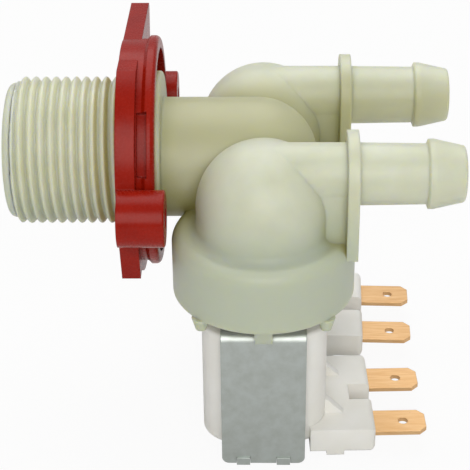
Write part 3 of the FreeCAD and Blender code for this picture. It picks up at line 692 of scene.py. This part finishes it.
def enamelled_copper_wound():
    wire_pitch, drift_size, wire_height = 0.16 * mm, 3 * mm, 0.03 * mm
    material = blank("enamelled copper wire, wound")
    place = add(material, "TexCoord").outputs["Object"]
    height = add(material, "SeparateXYZ", Vector=place)
    turn = add(material, "Math", {"operation": "MULTIPLY"}, _0=height.outputs["Z"],
               _1=2 * math.pi / wire_pitch)
    wire = add(material, "Math", {"operation": "SINE"}, _0=turn.outputs[0])
    drift = add(material, "TexNoise", Vector=place, Scale=1 / drift_size, Detail=3.0)
    tint = add(material, "ValToRGB", Fac=drift.outputs["Fac"])
    tint.color_ramp.elements[0].position = 0.3
    tint.color_ramp.elements[0].color = linear("#9C5A34")
    tint.color_ramp.elements[1].position = 0.7
    tint.color_ramp.elements[1].color = linear("#B87347")
    relief = add(material, "Bump", Strength=0.6, Distance=wire_height, Height=wire.outputs[0])
    rough = add(material, "MapRange", _0=drift.outputs["Fac"], _3=0.26, _4=0.38)
    return place_in(material, add(
        material, "BsdfPrincipled", Base_Color=tint.outputs["Color"],
        Roughness=rough.outputs["Result"], Normal=relief.outputs["Normal"], Metallic=1.0))


copper = enamelled_copper_wound()
finish_nodes(copper, "coil_winding_front", "coil_winding_rear")


# The camera stands where the photograph was taken from: almost square to the side of the
# valve and 31 degrees above it, with a long lens.

camera_turn = math.radians(1.2)
camera_height = math.radians(31)
camera_roll = math.radians(0.62)
camera_distance = 280.8 * mm
camera_side = -5.29 * mm
camera_lift = -15.33 * mm
photo_width = 470
focal_pixels = 1559
sensor_width = 36
nearest, farthest = 10 * mm, 5

right = Vector((math.cos(camera_turn), math.sin(camera_turn), 0))
back = Vector((math.sin(camera_turn) * math.cos(camera_height),
               -math.cos(camera_turn) * math.cos(camera_height), math.sin(camera_height)))
up = back.cross(right)
valve_axis = Vector((valve_axis_x, 0, 0))
spot = valve_axis + camera_side * right + camera_lift * up + camera_distance * back
rolled_right = math.cos(camera_roll) * right - math.sin(camera_roll) * up
rolled_up = math.cos(camera_roll) * up + math.sin(camera_roll) * right
bpy.ops.object.camera_add(location=spot)
camera = bpy.context.object
camera.rotation_euler = Matrix((rolled_right, rolled_up, back)).transposed().to_euler()
camera.data.sensor_width = sensor_width
camera.data.lens = focal_pixels / photo_width * sensor_width
camera.data.clip_start = nearest
camera.data.clip_end = farthest
bpy.context.scene.camera = camera


# The floor is a wide sheet of pale grey paper that keeps the shadow. To the camera it is nearly
# white, and metal mirrors some of that white.

floor_width = 6
camera_share = 0.93
mirror_share = 0.3


def pale_paper():
    material = blank("pale paper")
    sheet = add(material, "BsdfDiffuse", Color=linear("#E6E6E4"))
    glow = add(material, "Emission", Color=linear("#FFFFFF"), Strength=1.0)
    path = add(material, "LightPath")
    direct = add(material, "Math", {"operation": "MULTIPLY"}, _0=path.outputs["Is Camera Ray"],
                 _1=camera_share)
    mirrored = add(material, "Math", {"operation": "MULTIPLY_ADD"},
                   _0=path.outputs["Is Glossy Ray"], _1=mirror_share, _2=direct.outputs[0])
    share = add(material, "Math", {"operation": "MULTIPLY_ADD"},
                _0=path.outputs["Is Transmission Ray"], _1=mirror_share,
                _2=mirrored.outputs[0])
    return place_in(material, add(material, "MixShader", _0=share.outputs[0],
                                  _1=sheet.outputs[0], _2=glow.outputs[0]))


bpy.ops.mesh.primitive_plane_add(size=floor_width, location=(0, 0, cad_low.z))
floor = bpy.context.object
floor.name = "floor"
floor.data.materials.append(pale_paper())


# The light is that of a tent: bright above and behind, dim on the camera's side, with a soft
# lamp over the back and another over the camera.

tent_level = 0.32
tent_back = 0.12
tent_top = 0.12
back_lamp = (Vector((0.0, 0.24, 0.44)), 0.5, 1.45, "#FFFFFF")
front_lamp = (Vector((0.05, -0.5, 0.32)), 0.4, 1.75, "#FFFEFA")
lamps_aim = Vector((0.02, 0, -0.02))

world = bpy.context.scene.world or bpy.data.worlds.new("studio")
bpy.context.scene.world = world
world.use_nodes = True
direction = add(world, "TexCoord")
ways = add(world, "SeparateXYZ", Vector=direction.outputs["Generated"])
backward = add(world, "Math", {"operation": "MULTIPLY_ADD"}, _0=ways.outputs["Y"],
               _1=tent_back, _2=tent_level)
level = add(world, "Math", {"operation": "MULTIPLY_ADD", "use_clamp": True},
            _0=ways.outputs["Z"], _1=tent_top, _2=backward.outputs[0])
tent = world.node_tree.nodes["Background"]
tent.inputs["Color"].default_value = linear("#F6F7FA")
world.node_tree.links.new(level.outputs[0], tent.inputs["Strength"])

for spot, size, power, colour in (back_lamp, front_lamp):
    bpy.ops.object.light_add(type="AREA", location=spot)
    lamp = bpy.context.object
    lamp.data.size = size
    lamp.data.energy = power
    lamp.data.color = linear(colour)[:3]
    lamp.rotation_euler = (lamps_aim - spot).to_track_quat("-Z", "Y").to_euler()

bpy.context.scene.view_settings.view_transform = "Standard"
